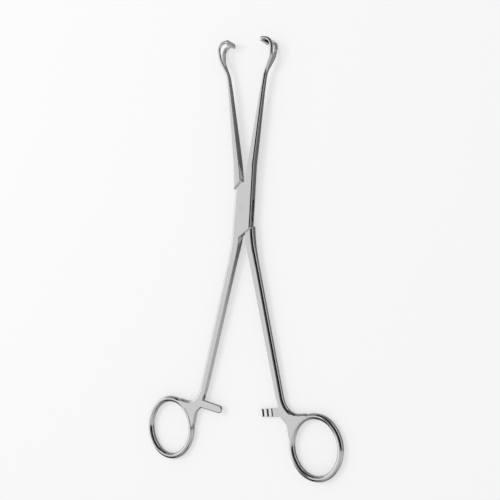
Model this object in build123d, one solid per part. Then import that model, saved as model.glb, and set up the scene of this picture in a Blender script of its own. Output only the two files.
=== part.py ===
from build123d import *
import math
import os

# Babcock tissue forceps, 24 cm: two crossed halves on a box lock, a rivet and finger rings.
# Each half is drawn in the closed position, with the hinge axis on Z through the origin and
# the jaws towards +Y, and is then swung to the partly open position that the part is shown in.
# The half with the slotted lock block has its jaw on the right and its ring on the left.

# Opening, degrees between the two halves
rest_opening = 11.9

# Lock block and the hinge
lock_thickness = 5.5
lock_half_width = 5.35
shoulder_distance = 11.1
shoulder_angle = 45.0
shoulder_gap = 0.15
inner_gap = 0.08
corner_overhang = 0.6
tongue_thickness = 1.8
tongue_waist_x = 3.7
tongue_waist_y = 0.5
tongue_foot_x = 4.2
tongue_foot_y = -13.0
tongue_root_x = -0.22
tongue_root_rise = 1.5022
slot_clearance = 0.08
slot_side_clearance = 0.15
slot_wall_end = 5.7
slot_reach = 9.0
pin_radius = 1.9
pin_clearance = 0.04

# Upper shank, from the lock to the neck of the jaw
neck_y = 75.8
neck_inner_x = 2.95
neck_outer_x = 4.5
waist_y = 66.0
waist_inner_x = 2.2
waist_outer_x = 4.15
upper_bend_y = 25.0
upper_bend_outer_x = 3.8
upper_bend_inner_x = 0.16
neck_thickness = 3.3
upper_flat_end = 32.0

# Jaw loop
jaw_top_y = 94.8
jaw_outer_x = 7.75
jaw_flare_y = 84.3
jaw_corner_radius = 5.2
jaw_wall = 1.55
jaw_width = 9.5
jaw_closed_gap = 0.1
jaw_tip_lean = 0.05
loop_inner_flare = 0.5
bar_depth = 2.7
bar_thickness = 1.7
bar_inner_radius = 0.3
bar_back_flat = 0.05
widening_start = 1.5
widening_end = 1.6
rail_height = 1.5
window_start_y = 79.6
window_start_radius = 0.4
groove_count = 4
groove_pitch = 0.6
groove_depth = 0.22
groove_width = 0.4

# Lower shank, from the lock to the finger ring
lower_bend_drop = 4.3022
lower_bend_outer_x = -4.9
shank_end_y = -104.0
shank_end_outer_x = -14.9
shank_end_inner_x = -10.8
shank_end_turn = 2.3
inner_splay = 0.1
lock_flat_beyond = 0.5
shank_thin_y = -31.0
shank_over_plate = 0.4
ring_thickness = 3.9
plate_thickness = 3.7

# Finger ring
ring_side_x = -16.1
ring_centre_y = -131.7
ring_half_width = 15.4
ring_half_length = 18.3
ring_wall = 3.3
ring_end_share = 0.60345
ring_tilt = 4.0
ring_join_top = 95.0
ring_join_side = -8.0
neck_side_inset = 1.1
neck_side_rise = 2.5
neck_notch_inset = 5.1
neck_notch_drop = 0.3
neck_end_inset = 10.0
neck_end_drop = 0.25
web_run = (-0.65, -0.76)
web_top_outset = 0.2
web_top_y = 4.0
web_low_inset = 0.4
web_low_y = 9.5

# Ratchet bars
ratchet_middle_y = -113.3
ratchet_root_width = 4.8
ratchet_tip_width = 4.2
ratchet_overlap = 0.73
ratchet_tip_flat = 0.3
ratchet_root_x = -14.0
ratchet_edge = 0.6
box_bar_slope = 4.5
tongue_bar_slope = 2.0
tooth_count = 3
tooth_pitch = 2.8
first_tooth = 2.2
tooth_height = 0.8
tooth_clearance = 0.1
blank_below_crest = 0.15

# Edge rounding
shank_edge_flat = 0.1
jaw_edge_flat = 0.25
inner_edge = 0.3
tip_edge = 0.5

# Bends of the outline, radii
outer_bends = [80, 80, 16, 10]
inner_bends = [80, 60, 14, 8]
lower_outer_bend = 80
lower_inner_bends = [50, 30]
side_bends = [6, 14, 200, 100, 100, 300]

half_thickness = lock_thickness / 2
shoulder_top_y = shoulder_distance / math.cos(math.radians(shoulder_angle))
tongue_root_y = shoulder_top_y + tongue_root_rise
lower_bend_y = -shoulder_top_y - lower_bend_drop
ring_half_thickness = ring_thickness / 2
plate_half_thickness = plate_thickness / 2
shank_edge = plate_half_thickness - shank_edge_flat
jaw_edge = jaw_wall - inner_edge - jaw_edge_flat
ratchet_tip_radius = (ratchet_tip_width - ratchet_tip_flat) / 2
jaw_half_width = jaw_width / 2
jaw_tip_x = jaw_closed_gap / 2
bar_outer_radius = bar_depth - jaw_wall - bar_inner_radius - bar_back_flat
loop_inner_x = jaw_outer_x - jaw_wall
ring_centre_x = ring_side_x - ring_half_width
ring_top_y = ring_centre_y + ring_half_length
ring_end_y = ring_centre_y - ring_half_length
ratchet_bottom_y = ratchet_middle_y - ratchet_root_width / 2
beyond = 5.0
past_lock = 2 * lock_thickness
band_length = 4 * (shoulder_distance + beyond)
tongue_half = tongue_thickness / 2
slot_half = tongue_half + slot_clearance
touch = 0.001
upright_run = 0.75
tooth_crest_z = tooth_clearance / 2
tooth_root_z = tooth_crest_z + tooth_height


def ring_join():
    """Arc along the middle of the ring's wire, where the shank is joined to it."""
    return EllipticalCenterArc(
        (ring_centre_x, ring_centre_y),
        ring_half_width - ring_wall / 2,
        ring_half_length - ring_wall / 2,
        start_angle=ring_join_side,
        arc_size=ring_join_top - ring_join_side,
        rotation=ring_tilt,
    )


def shoulder_y(x):
    """Height of the upper shoulder line of the lock block above x."""
    return shoulder_top_y + x * math.tan(math.radians(shoulder_angle))


def upper_outer():
    """Outer side of the upper shank and the jaw, from the lower shoulder to the tip."""
    corner_x = lock_half_width + corner_overhang
    return FilletPolyline(
        (corner_x, -shoulder_y(-corner_x)),
        (upper_bend_outer_x, upper_bend_y),
        (waist_outer_x, waist_y),
        (neck_outer_x, neck_y),
        (jaw_outer_x, jaw_flare_y),
        (jaw_outer_x + jaw_tip_lean, jaw_top_y),
        (jaw_tip_x, jaw_top_y),
        radius=outer_bends + [jaw_corner_radius],
    )


def upper_inner():
    """Inner side of the upper shank and the jaw loop, and the back of the tip bar."""
    return FilletPolyline(
        (inner_gap, shoulder_y(inner_gap)),
        (upper_bend_inner_x, upper_bend_y),
        (waist_inner_x, waist_y),
        (neck_inner_x, neck_y),
        (loop_inner_x, jaw_flare_y + loop_inner_flare),
        (loop_inner_x, jaw_top_y - jaw_wall),
        (jaw_tip_x + bar_thickness, jaw_top_y - jaw_wall),
        (jaw_tip_x + bar_thickness, jaw_top_y - bar_depth),
        (jaw_tip_x, jaw_top_y - bar_depth),
        radius=inner_bends + [jaw_corner_radius - jaw_wall, bar_inner_radius, bar_outer_radius],
    )


def lower_outer():
    """Outer side of the lower shank, from the upper shoulder into the ring's wire."""
    corner_x = -lock_half_width - corner_overhang
    shank = FilletPolyline(
        (corner_x, shoulder_y(corner_x)),
        (lower_bend_outer_x, lower_bend_y),
        (shank_end_outer_x, shank_end_y),
        radius=lower_outer_bend,
    )
    join = ring_join()
    neck = Spline(
        shank @ 1,
        (ring_side_x - neck_side_inset, ring_top_y + neck_side_rise),
        (ring_side_x - neck_notch_inset, ring_top_y - neck_notch_drop),
        (ring_side_x - neck_end_inset, ring_top_y - neck_end_drop),
        join @ 1,
        tangents=[shank % 1, join % 1],
    )
    return [shank, neck]


def lower_inner():
    """Inner side of the lower shank, from the lower shoulder past the ratchet into the wire."""
    shank = FilletPolyline(
        (-inner_gap, -shoulder_y(inner_gap)),
        (-inner_gap - inner_splay, lower_bend_y),
        (shank_end_inner_x, shank_end_y),
        (shank_end_inner_x - shank_end_turn, ratchet_bottom_y),
        radius=lower_inner_bends,
    )
    join = ring_join()
    web = Spline(
        shank @ 1,
        (ring_side_x + web_top_outset, ratchet_bottom_y - web_top_y),
        (ring_side_x - web_low_inset, ratchet_bottom_y - web_low_y),
        join @ 0,
        tangents=[web_run, -(join % 0)],
    )
    return [shank, web]


def half_plan():
    """Outline of one forged half without its ring, seen from above."""
    upper_out = upper_outer()
    upper_in = upper_inner()
    lower_out = lower_outer()
    lower_in = lower_inner()
    tip = Line(upper_out @ 1, upper_in @ 1)
    upper_shoulder = Line(upper_in @ 0, lower_out[0] @ 0)
    lower_shoulder = Line(upper_out @ 0, lower_in[0] @ 0)
    sides = [upper_out, tip, upper_in, upper_shoulder, lower_shoulder]
    return make_face(sides + lower_out + [ring_join()] + lower_in)


def wire_arc(centre_x, centre_y, radius, start_angle, turn):
    """Part of the ring's round wire along one arc."""
    start = Rot(0, 0, start_angle) * Pos(radius, 0, 0)
    section = start * (Plane.XZ * Ellipse(ring_wall / 2, ring_half_thickness))
    arc = revolve(section, Axis.Z, turn)
    return Pos(centre_x, centre_y, 0) * arc


def finger_ring():
    """Oval finger ring of round wire, made of two end arcs and two longer side arcs."""
    across = ring_half_width - ring_wall / 2
    longer = ring_half_length - ring_half_width
    end_radius = across - ring_end_share * longer
    end_reach = 1 + ring_end_share
    side_reach = 1 + 1 / (2 * ring_end_share)
    end_centre = end_reach * longer
    side_centre = side_reach * longer
    side_radius = across + side_centre
    side_half_turn = math.degrees(math.atan2(end_reach, side_reach))
    end_turn = 180 - 2 * side_half_turn
    right = wire_arc(-side_centre, 0, side_radius, -side_half_turn, 2 * side_half_turn)
    top = wire_arc(0, end_centre, end_radius, side_half_turn, end_turn)
    left = Rot(0, 0, 180) * right
    bottom = Rot(0, 0, 180) * top
    ring = right + top + left + bottom
    return Pos(ring_centre_x, ring_centre_y, 0) * (Rot(0, 0, ring_tilt) * ring)


def side_profile():
    """Thickness of a half along its length, as a face in the YZ plane."""
    lock_end = shoulder_y(0) + lock_flat_beyond
    upper_side = FilletPolyline(
        (jaw_top_y + beyond, jaw_half_width),
        (jaw_top_y - widening_end, jaw_half_width),
        (neck_y + widening_start, neck_thickness / 2),
        (upper_flat_end, half_thickness),
        (-lock_end, half_thickness),
        (shank_thin_y, plate_half_thickness + shank_over_plate / 2),
        (shank_end_y, plate_half_thickness),
        (ring_end_y - beyond, plate_half_thickness),
        radius=side_bends,
    )
    lower_side = mirror(upper_side, Plane.XZ)
    jaw_close = Line(upper_side @ 0, lower_side @ 0)
    ring_close = Line(upper_side @ 1, lower_side @ 1)
    return Plane.YZ * make_face([upper_side, jaw_close, lower_side, ring_close])


def half_side_height(y):
    """Half thickness of the jaw loop at height y, on the straight part of its widening."""
    start_y = neck_y + widening_start
    share = (y - start_y) / (jaw_top_y - widening_end - start_y)
    return neck_thickness / 2 + share * (jaw_half_width - neck_thickness / 2)


def rim_edges(half, runs):
    """Edges of a half above and below the given runs of its outline."""
    rim = []
    for edge in half.edges():
        middle = edge @ 0.5
        upright = abs(edge.tangent_at(0.5).Z) > upright_run
        below = Vertex(middle.X, middle.Y, 0)
        if not upright and min(below.distance_to(run) for run in runs) < touch:
            rim.append(edge)
    return rim


def tip_edges(half):
    """Upper and lower edges of the gripping face of the tip bar."""
    middle_y = jaw_top_y - bar_depth / 2
    ends = []
    for edge in half.edges():
        middle = edge @ 0.5
        upright = abs(edge.tangent_at(0.5).Z) > upright_run
        on_face = abs(middle.X - jaw_tip_x) < touch
        if on_face and not upright and abs(middle.Y - middle_y) < bar_depth / 2 - touch:
            ends.append(edge)
    return ends


def window():
    """Cutter for the side opening of the jaw loop, which leaves two rails and the tip bar."""
    start_height = half_side_height(window_start_y) - rail_height
    bend_y = jaw_top_y - widening_end
    bend_height = jaw_half_width - rail_height
    outline = Polyline(
        (window_start_y, -start_height),
        (window_start_y, start_height),
        (bend_y, bend_height),
        (jaw_top_y + beyond, bend_height),
        (jaw_top_y + beyond, -bend_height),
        (bend_y, -bend_height),
        close=True,
    )
    opening = make_face(outline)
    start_corners = opening.vertices().filter_by(lambda v: v.X < window_start_y + touch)
    opening = fillet(start_corners, window_start_radius)
    cutter = extrude(Plane.YZ * opening, jaw_outer_x + beyond)
    return Pos(jaw_tip_x + bar_thickness, 0, 0) * cutter


def grip_grooves():
    """Cutters for the fine cross grooves on the gripping face of the tip bar."""
    first_y = jaw_top_y - bar_depth / 2 - (groove_count - 1) * groove_pitch / 2
    grooves = []
    for index in range(groove_count):
        y = first_y + index * groove_pitch
        profile = Polyline(
            (jaw_tip_x - groove_depth, y - groove_width),
            (jaw_tip_x + groove_depth, y),
            (jaw_tip_x - groove_depth, y + groove_width),
            close=True,
        )
        grooves.append(extrude(make_face(profile), jaw_width, both=True))
    return grooves


def half_forging():
    """One forged half, round outside and flat inside, before the lock is cut."""
    thick = extrude(half_plan(), jaw_width, both=True)
    sides = extrude(side_profile(), -ring_centre_x + ring_half_width + beyond, both=True)
    half = (thick & sides).solids()[0]
    half = half.fillet(jaw_edge, rim_edges(half, [upper_outer()]))
    half = half.fillet(shank_edge, rim_edges(half, lower_outer()))
    half = half.fillet(inner_edge, rim_edges(half, [upper_inner()]))
    half = half.fillet(inner_edge, rim_edges(half, lower_inner()))
    half = half.fillet(tip_edge, tip_edges(half))
    half = half + finger_ring()
    half = half - window()
    for groove in grip_grooves():
        half = half - groove
    return half.solids()[0]


def tongue_side_x(y):
    """Side of the tongue at height y, between its root and its waist."""
    share = (tongue_root_y - y) / (tongue_root_y - tongue_waist_y)
    return tongue_root_x + share * (tongue_waist_x - tongue_root_x)


def tongue():
    """Flat tongue that runs through the slot of the other half."""
    outline = Polyline(
        (tongue_root_x, tongue_root_y),
        (tongue_waist_x, tongue_waist_y),
        (tongue_foot_x, tongue_foot_y),
        (-tongue_root_x, -tongue_root_y),
        (-tongue_waist_x, -tongue_waist_y),
        (-tongue_foot_x, -tongue_foot_y),
        close=True,
    )
    return extrude(make_face(outline), tongue_half, both=True)


def slot():
    """Cutter for the slot in the lock block, open on two opposite sides."""
    root_x = tongue_side_x(tongue_root_y) + slot_side_clearance
    wall_x = tongue_side_x(slot_wall_end) + slot_side_clearance
    outline = Polyline(
        (root_x, tongue_root_y),
        (wall_x, slot_wall_end),
        (slot_reach, slot_wall_end),
        (slot_reach, -tongue_root_y),
        (-root_x, -tongue_root_y),
        (-wall_x, -slot_wall_end),
        (-slot_reach, -slot_wall_end),
        (-slot_reach, tongue_root_y),
        close=True,
    )
    return extrude(make_face(outline), slot_half, both=True)


def shoulder_band():
    """Space that the lock block of the other half takes up, with the gap at its shoulders."""
    reach = 2 * (shoulder_distance + shoulder_gap)
    return Rot(0, 0, 90 + shoulder_angle) * Box(reach, band_length, past_lock)


def ratchet_bar(slope):
    """Ratchet bar of the left ring: teeth below, each with a steep face towards its own root."""
    plan = Polyline(
        (ratchet_root_x, ratchet_middle_y + ratchet_root_width / 2),
        (ratchet_overlap, ratchet_middle_y + ratchet_tip_width / 2),
        (ratchet_overlap, ratchet_middle_y - ratchet_tip_width / 2),
        (ratchet_root_x, ratchet_middle_y - ratchet_root_width / 2),
        close=True,
    )
    plan = make_face(plan)
    tip_corners = plan.vertices().filter_by(lambda v: v.X > 0)
    plan = fillet(tip_corners, ratchet_tip_radius)
    blank_bottom_z = tooth_crest_z - blank_below_crest
    blank = Pos(0, 0, blank_bottom_z) * extrude(plan, plate_half_thickness - blank_bottom_z)
    blank = blank.solids()[0]
    rim = blank.faces().sort_by(Axis.Z)[0].edges() + blank.faces().sort_by(Axis.Z)[-1].edges()
    blank = blank.fillet(ratchet_edge, rim)
    points = [(ratchet_overlap + beyond, ring_thickness)]
    points.append((ratchet_overlap + beyond, tooth_root_z))
    points.append((ratchet_overlap, tooth_root_z))
    for index in range(tooth_count):
        steep_x = ratchet_overlap - first_tooth - index * tooth_pitch
        points.append((steep_x, tooth_crest_z))
        points.append((steep_x, tooth_root_z))
    points.append((ratchet_root_x - beyond, tooth_root_z))
    points.append((ratchet_root_x - beyond, ring_thickness))
    side = make_face(Plane.XZ * Polyline(*points, close=True))
    bar = blank & extrude(side, -ratchet_bottom_y + beyond, both=True)
    root = Pos(ratchet_root_x, ratchet_middle_y, 0)
    return root * Rot(0, 0, -slope) * root.inverse() * bar


def swung(half, angle):
    """A half turned about the hinge and set with the underside of the lock at zero."""
    return Pos(0, 0, half_thickness) * (Rot(0, 0, angle) * half)


forging = half_forging()

# Half with the slotted lock block
pin_bore = Cylinder(pin_radius, past_lock)
box_half = forging - slot()
box_half = box_half - pin_bore
box_half = box_half + ratchet_bar(box_bar_slope)

# Half with the tongue: the mirrored forging, its lock cut down to the tongue
tongue_bore = Cylinder(pin_radius + pin_clearance, past_lock)
tongue_half_solid = mirror(forging, Plane.YZ)
tongue_half_solid = tongue_half_solid - shoulder_band()
tongue_half_solid = tongue_half_solid + tongue()
tongue_half_solid = tongue_half_solid - tongue_bore
tongue_half_solid = tongue_half_solid + Rot(0, 180, 0) * ratchet_bar(tongue_bar_slope)

# Rivet of the hinge, ground flush with both faces of the lock
lock_pin = Cylinder(pin_radius, lock_thickness)

box_half = swung(box_half, -rest_opening / 2)
tongue_half_solid = swung(tongue_half_solid, rest_opening / 2)
lock_pin = swung(lock_pin, 0)

os.makedirs("parts", exist_ok=True)
export_step(box_half.solids()[0], "parts/box_half.step")
export_step(tongue_half_solid.solids()[0], "parts/tongue_half.step")
export_step(lock_pin.solids()[0], "parts/lock_pin.step")
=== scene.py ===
import bpy
import math
from mathutils import Matrix, Vector

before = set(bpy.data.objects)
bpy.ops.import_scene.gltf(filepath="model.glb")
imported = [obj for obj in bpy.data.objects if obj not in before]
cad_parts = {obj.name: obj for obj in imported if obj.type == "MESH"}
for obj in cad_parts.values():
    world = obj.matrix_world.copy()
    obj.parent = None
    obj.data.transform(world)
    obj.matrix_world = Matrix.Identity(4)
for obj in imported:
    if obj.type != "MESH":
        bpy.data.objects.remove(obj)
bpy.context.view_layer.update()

# Camera: looks down from a little to the right, measured from the photograph
camera_place = Vector((0.17575, -0.0232, 0.36505))
image_right = Vector((0.903413, 0.018310, -0.428380))
image_up = Vector((-0.016499, 0.999832, 0.007940))
view_back = Vector((0.428454, -0.000106, 0.903564))
focal_length_px = 720.0
frame_px = 500.0
sensor_mm = 36.0
nearest_seen = 0.01
furthest_seen = 20.0

# Floor: two points that it lies under, of the jaws' rails and of the rings
jaw_rest = Vector((0.0, 0.0925, -0.0020))
ring_rest = Vector((0.0, -0.1450, 0.0008))
floor_size = 6.0
floor_gap = 0.0001

# Steel: grey level, roughness and apparent edge radius of the forged halves and of the ground pin,
# and the waves in its gloss, counted per metre
forged_finish = (0.80, 0.10, 0.00015)
pin_finish = (0.78, 0.18, 0.00002)
waves_per_metre = 900.0
wave_low = 0.3
wave_high = 0.7
gloss_spread = 0.15

# Light: the key lamp, the plain light on the floor, and the darkest that the steel mirrors
key_place = Vector((-0.55, 0.25, 0.9))
key_width = 0.5
key_power = 3.0
ambient_light = 0.85
darkest = 0.01


def grey(level):
    """Neutral colour."""
    return (level, level, level, 1)


def node(tree, kind, **values):
    """Adds a shader node and sets its constants; an underscore stands for a space in a name."""
    made = tree.nodes.new(kind)
    for name, value in values.items():
        made.inputs[name.replace("_", " ")].default_value = value
    return made


def add_shaders(tree, first, second):
    """Adds two shaders up."""
    made = tree.nodes.new("ShaderNodeAddShader")
    tree.links.new(first.outputs[0], made.inputs[0])
    tree.links.new(second.outputs[0], made.inputs[1])
    return made


def swap_in_mirrors(tree, plain, mirrored):
    """Shows the second shader where glossy surfaces mirror it, and the first one to all else."""
    ray = tree.nodes.new("ShaderNodeLightPath")
    made = tree.nodes.new("ShaderNodeMixShader")
    tree.links.new(ray.outputs["Is Glossy Ray"], made.inputs["Fac"])
    tree.links.new(plain.outputs[0], made.inputs[1])
    tree.links.new(mirrored.outputs[0], made.inputs[2])
    return made


def empty_material(name):
    """Adds a material without nodes, and returns it with its node tree."""
    material = bpy.data.materials.new(name)
    material.use_nodes = True
    material.node_tree.nodes.clear()
    return material, material.node_tree


def steel(name, level, roughness, edge_radius):
    """Polished steel with faint waviness in its gloss."""
    material, tree = empty_material(name)
    metal = node(tree, "ShaderNodeBsdfPrincipled", Base_Color=grey(level), Metallic=1.0)
    place = tree.nodes.new("ShaderNodeTexCoord")
    noise = node(tree, "ShaderNodeTexNoise", Scale=waves_per_metre, Detail=3.0, Roughness=0.6)
    spread = node(tree, "ShaderNodeMapRange", From_Min=wave_low, From_Max=wave_high)
    spread.inputs["To Min"].default_value = roughness * (1 - gloss_spread)
    spread.inputs["To Max"].default_value = roughness * (1 + gloss_spread)
    round_edge = node(tree, "ShaderNodeBevel", Radius=edge_radius)
    round_edge.samples = 6
    out = tree.nodes.new("ShaderNodeOutputMaterial")
    tree.links.new(place.outputs["Object"], noise.inputs["Vector"])
    tree.links.new(noise.outputs["Fac"], spread.inputs["Value"])
    tree.links.new(spread.outputs["Result"], metal.inputs["Roughness"])
    tree.links.new(round_edge.outputs["Normal"], metal.inputs["Normal"])
    tree.links.new(metal.outputs["BSDF"], out.inputs["Surface"])
    return material


def paper(name):
    """Pale matt sheet, lifted to near white by a faint glow, and darker and glossy in the steel."""
    material, tree = empty_material(name)
    sheet = node(tree, "ShaderNodeBsdfDiffuse", Color=grey(0.5))
    glow = node(tree, "ShaderNodeEmission", Color=grey(1), Strength=0.5)
    mirrored_sheet = node(tree, "ShaderNodeBsdfDiffuse", Color=grey(0.25))
    gloss = node(tree, "ShaderNodeBsdfAnisotropic", Color=grey(0.55), Roughness=0.12)
    seen = add_shaders(tree, sheet, glow)
    mirrored = add_shaders(tree, mirrored_sheet, gloss)
    surface = swap_in_mirrors(tree, seen, mirrored)
    out = tree.nodes.new("ShaderNodeOutputMaterial")
    tree.links.new(surface.outputs["Shader"], out.inputs["Surface"])
    return material


# Steel of the three pieces
forged_steel = steel("forged_steel", *forged_finish)
pin_steel = steel("pin_steel", *pin_finish)
for name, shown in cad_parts.items():
    shown.data.materials.clear()
    shown.data.materials.append(pin_steel if name == "lock_pin" else forged_steel)

# Floor, a large pale sheet just under the points that the jaws and the rings rest on
bpy.ops.mesh.primitive_plane_add(size=floor_size)
floor = bpy.context.object
floor.name = "floor"
floor_slope = math.atan2(ring_rest.z - jaw_rest.z, jaw_rest.y - ring_rest.y)
floor.rotation_euler = (-floor_slope, 0, 0)
floor.location = (jaw_rest + ring_rest) / 2 - Vector((0, 0, floor_gap))
floor.data.materials.append(paper("paper"))

# World
world = bpy.data.worlds.new("studio")
bpy.context.scene.world = world
world.use_nodes = True
sky = world.node_tree
sky.nodes.clear()


def maths(operation, a, b=0.0):
    """Adds a maths node; an input is a number or another node's output."""
    made = sky.nodes.new("ShaderNodeMath")
    made.operation = operation
    for slot, value in zip(made.inputs, (a, b)):
        if isinstance(value, (int, float)):
            slot.default_value = value
        else:
            sky.links.new(value, slot)
    return made.outputs[0]


def above(value, low, high):
    """Smooth step from 0 at low to 1 at high."""
    made = node(sky, "ShaderNodeMapRange", From_Min=low, From_Max=high)
    made.interpolation_type = "SMOOTHSTEP"
    sky.links.new(value, made.inputs["Value"])
    return made.outputs["Result"]


def below(value, low, high):
    """Smooth step from 1 at low to 0 at high."""
    return maths("SUBTRACT", 1.0, above(value, low, high))


def zone(brightness, *limits):
    """Light of one brightness where all of the limits hold."""
    inside = limits[0]
    for limit in limits[1:]:
        inside = maths("MULTIPLY", inside, limit)
    return maths("MULTIPLY", inside, brightness)


# Direction that the steel mirrors, whose parts run from -1 to 1
direction = sky.nodes.new("ShaderNodeTexCoord")
parts = sky.nodes.new("ShaderNodeSeparateXYZ")
sky.links.new(direction.outputs["Generated"], parts.inputs["Vector"])
right, back, up = parts.outputs["X"], parts.outputs["Y"], parts.outputs["Z"]
left = maths("MULTIPLY", right, -1.0)
front = maths("MULTIPLY", back, -1.0)
slant = maths("ADD", left, maths("MULTIPLY", back, 0.3))
off_level = maths("ABSOLUTE", up)

# Surroundings: bright on the left and along the horizon, paler above and low in front, dark where the
# camera stands and low behind. Each limit fades between its two numbers
zones = {
    "left_panel": zone(0.74, above(slant, 0.16, 0.28), below(back, 0.5, 0.62), below(front, 0.42, 0.56)),
    "left_wall": zone(1.1, above(left, 0.65, 0.85), below(front, 0.45, 0.65)),
    "horizon": zone(1.0, below(off_level, 0.08, 0.2), below(front, 0.5, 0.7), below(back, 0.75, 0.9)),
    "above_front": zone(0.6, above(front, 0.18, 0.28), above(up, 0.5, 0.66), above(right, -0.3, -0.1)),
    "low_front": zone(0.3, above(front, 0.6, 0.75), above(up, 0.16, 0.26), above(right, -0.36, -0.24)),
    "behind": zone(0.25, above(back, 0.55, 0.7), above(left, 0.2, 0.36)),
    "above_back": zone(0.3, above(back, 0.48, 0.6), above(up, 0.66, 0.76), below(right, 0.2, 0.35)),
    "side": zone(0.45, above(right, 0.5, 0.65), above(front, 0.17, 0.27)),
    "overhead": zone(0.18, above(up, 0.965, 0.985)),
}
brightest = darkest
for light in zones.values():
    brightest = maths("MAXIMUM", light, brightest)
surroundings = node(sky, "ShaderNodeBackground", Color=grey(1))
sky.links.new(brightest, surroundings.inputs["Strength"])
ambient = node(sky, "ShaderNodeBackground", Color=grey(0.8), Strength=ambient_light)
sky_shader = swap_in_mirrors(sky, ambient, surroundings)
sky_out = sky.nodes.new("ShaderNodeOutputWorld")
sky.links.new(sky_shader.outputs["Shader"], sky_out.inputs["Surface"])

# Key light, a wide panel up on the left that the steel doesn't mirror
lamp = bpy.data.lights.new("key", "AREA")
lamp.shape = "DISK"
lamp.size = key_width
lamp.energy = key_power
key = bpy.data.objects.new("key", lamp)
bpy.context.scene.collection.objects.link(key)
key.location = key_place
key.rotation_euler = (-key_place).to_track_quat("-Z", "Y").to_euler()
key.visible_glossy = False
key.visible_camera = False

# Camera
lens = bpy.data.cameras.new("camera")
lens.sensor_width = sensor_mm
lens.lens = sensor_mm * focal_length_px / frame_px
lens.clip_start = nearest_seen
lens.clip_end = furthest_seen
camera = bpy.data.objects.new("camera", lens)
bpy.context.scene.collection.objects.link(camera)
turn = Matrix((image_right, image_up, view_back)).transposed().to_4x4()
camera.matrix_world = Matrix.Translation(camera_place) @ turn
bpy.context.scene.camera = camera
bpy.context.scene.view_settings.view_transform = "Standard"
